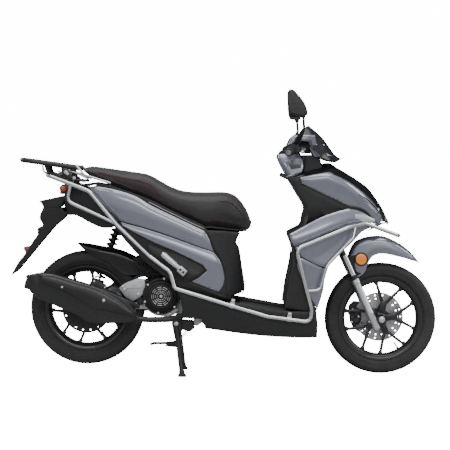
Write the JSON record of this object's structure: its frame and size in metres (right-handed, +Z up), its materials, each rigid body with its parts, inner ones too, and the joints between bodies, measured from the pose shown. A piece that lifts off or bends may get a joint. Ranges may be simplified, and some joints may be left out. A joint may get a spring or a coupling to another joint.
{
  "type": "moped scooter",
  "caption": "Step-through moped scooter on its centre stand, with guard tubes, rear carrier, smoked screen, bench seat, alloy wheels and a rear drive unit that swings.",
  "frame": {"origin": "on the ground, on the mid-plane, halfway along the overall length", "axes": "+X forward, +Y to the rider's left, +Z up"},
  "size_m": [1.909, 0.7, 1.26],
  "materials": {
    "frame_black": "satin black paint",
    "guard_steel": "bright tube",
    "body_grey": "silver-grey paint, gloss",
    "black_plastic": "moulded black, fine grain",
    "alloy": "cast and painted, satin",
    "disc_steel": "turned",
    "tyre": "matt",
    "rubber": "matt",
    "exhaust_black": "heat-proof satin black",
    "red_lens": "clear red-brown plastic lens",
    "clear_lens": "clear plastic lens",
    "smoke": "dark smoke sheet",
    "seat_vinyl": "grained vinyl",
    "seat_base": "moulded",
    "tank": "black paint"
  },
  "bodies": {
    "chassis": {"main_frame": "frame_black", "crash_bar_right": "guard_steel", "crash_bar_left": "guard_steel", "rear_rack": "frame_black", "front_cowl": "black_plastic", "cowl_panels": "body_grey", "headlight": "clear_lens", "leg_shield": "black_plastic", "leg_panels": "body_grey", "floorboard": "black_plastic", "side_panels": "body_grey", "side_covers": "black_plastic", "seat_front_panel": "body_grey", "tail_cover": "black_plastic", "rear_lights": "red_lens", "rear_mudguard": "black_plastic", "storage_bucket": "black_plastic", "fuel_tank": "tank", "battery": "black_plastic", "shock_body": "frame_black", "shock_spring": "frame_black"},
    "ignition": {"ignition_lock": "alloy"},
    "engine_unit": {"engine_block": "alloy", "fan_shroud": "black_plastic", "muffler": "exhaust_black", "air_box": "frame_black", "rear_hugger": "black_plastic", "rear_caliper": "disc_steel", "rear_axle": "guard_steel"},
    "crank": {"crankshaft_fan": "frame_black"},
    "rear_wheel": {"rear_tyre": "tyre", "rear_rim": "alloy", "rear_disc": "disc_steel"},
    "front_wheel": {"front_tyre": "tyre", "front_rim": "alloy", "front_disc": "disc_steel"},
    "fork_lower": {"fork_sliders": "alloy", "front_axle": "guard_steel", "front_caliper": "disc_steel"},
    "steering": {"steering_stem": "frame_black", "handlebar": "guard_steel", "handlebar_cover": "body_grey", "windscreen": "smoke", "front_fender": "black_plastic", "switch_housings": "black_plastic", "grip_left": "rubber"},
    "throttle": {"grip_right": "rubber"},
    "lever_right": {"brake_lever_right": "alloy"},
    "lever_left": {"brake_lever_left": "alloy"},
    "mirror_right": {"mirror_right": "black_plastic"},
    "mirror_left": {"mirror_left": "black_plastic"},
    "starter": {"starter_button": "black_plastic"},
    "horn": {"horn_button": "black_plastic"},
    "signals": {"signal_switch": "black_plastic"},
    "stand": {"center_stand": "frame_black"},
    "seat": {"seat_base": "seat_base", "seat_cushion": "seat_vinyl"},
    "peg_right": {"peg_right": "alloy"},
    "peg_left": {"peg_left": "alloy"},
    "shock_lower": {"shock_rod": "guard_steel"}
  },
  "joints": [
    {"name": "steering", "type": "hinge", "parent": "chassis", "child": "steering", "pos_m": [0.48807, 0, 0.6393], "axis": [-0.4147, 0, 0.91], "range_deg": [-40, 40]},
    {"name": "fork_travel", "type": "slide", "parent": "steering", "child": "fork_lower", "axis": [-0.4147, 0, 0.91], "range_m": [0, 0.06], "stiffness_N_per_m": 16000, "springref_m": -0.03},
    {"name": "front_wheel_spin", "type": "hinge", "parent": "fork_lower", "child": "front_wheel", "pos_m": [0.7045, 0, 0.25], "axis": [0, 1, 0], "continuous": true},
    {"name": "rear_swing", "type": "hinge", "parent": "chassis", "child": "engine_unit", "pos_m": [-0.084, 0, 0.25], "axis": [0, 1, 0], "range_deg": [0, 8.6], "stiffness_Nm_per_rad": 2600, "springref_deg": -6.88},
    {"name": "shock_travel", "type": "slide", "parent": "chassis", "child": "shock_lower", "axis": [0.3361, 0, 0.9418], "range_m": [0, 0.08], "deforming": ["shock_spring"]},
    {"name": "rear_wheel_spin", "type": "hinge", "parent": "engine_unit", "child": "rear_wheel", "pos_m": [-0.6115, 0, 0.299], "axis": [0, 1, 0], "continuous": true},
    {"name": "crank_spin", "type": "hinge", "parent": "engine_unit", "child": "crank", "pos_m": [-0.277, 0, 0.358], "axis": [0, 1, 0], "continuous": true},
    {"name": "stand_swing", "type": "hinge", "parent": "engine_unit", "child": "stand", "pos_m": [-0.211, 0, 0.236], "axis": [0, 1, 0], "range_deg": [0, 70]},
    {"name": "seat_lift", "type": "hinge", "parent": "chassis", "child": "seat", "pos_m": [0.098, 0, 0.648], "axis": [0, 1, 0], "range_deg": [0, 60]},
    {"name": "peg_fold_right", "type": "hinge", "parent": "chassis", "child": "peg_right", "pos_m": [-0.176, -0.188, 0.47], "axis": [0.6559, 0, 0.7549], "range_deg": [0, 90]},
    {"name": "peg_fold_left", "type": "hinge", "parent": "chassis", "child": "peg_left", "pos_m": [-0.176, 0.188, 0.47], "axis": [-0.6559, 0, -0.7549], "range_deg": [0, 90]},
    {"name": "throttle_turn", "type": "hinge", "parent": "steering", "child": "throttle", "pos_m": [0.28952, -0.25, 1.00174], "axis": [-0.1462, -0.983, -0.1109], "range_deg": [0, 75], "stiffness_Nm_per_rad": 0.4},
    {"name": "lever_right_pull", "type": "hinge", "parent": "steering", "child": "lever_right", "pos_m": [0.34452, -0.176, 1.00609], "axis": [0, 0, -1], "range_deg": [0, 12], "stiffness_Nm_per_rad": 1.2},
    {"name": "lever_left_pull", "type": "hinge", "parent": "steering", "child": "lever_left", "pos_m": [0.34452, 0.176, 1.00609], "axis": [0, 0, 1], "range_deg": [0, 12], "stiffness_Nm_per_rad": 1.2},
    {"name": "mirror_right_turn", "type": "hinge", "parent": "steering", "child": "mirror_right", "pos_m": [0.32052, -0.176, 1.03609], "axis": [0, 0, 1], "range_deg": [-25, 25]},
    {"name": "mirror_left_turn", "type": "hinge", "parent": "steering", "child": "mirror_left", "pos_m": [0.32052, 0.176, 1.03609], "axis": [0, 0, 1], "range_deg": [-25, 25]},
    {"name": "starter_press", "type": "slide", "parent": "steering", "child": "starter", "axis": [1, 0, 0], "range_m": [0, 0.003], "stiffness_N_per_m": 400},
    {"name": "horn_press", "type": "slide", "parent": "steering", "child": "horn", "axis": [1, 0, 0], "range_m": [0, 0.003], "stiffness_N_per_m": 400},
    {"name": "signal_press", "type": "slide", "parent": "steering", "child": "signals", "axis": [1, 0, 0], "range_m": [0, 0.003], "stiffness_N_per_m": 400},
    {"name": "ignition_turn", "type": "hinge", "parent": "chassis", "child": "ignition", "pos_m": [0.308, -0.042, 0.872], "axis": [-0.9135, 0, 0.4067], "range_deg": [0, 90]}
  ],
  "couplings": [
    {"joint": "shock_travel", "follows": "rear_swing", "m_per_rad": 0.51286}
  ]
}
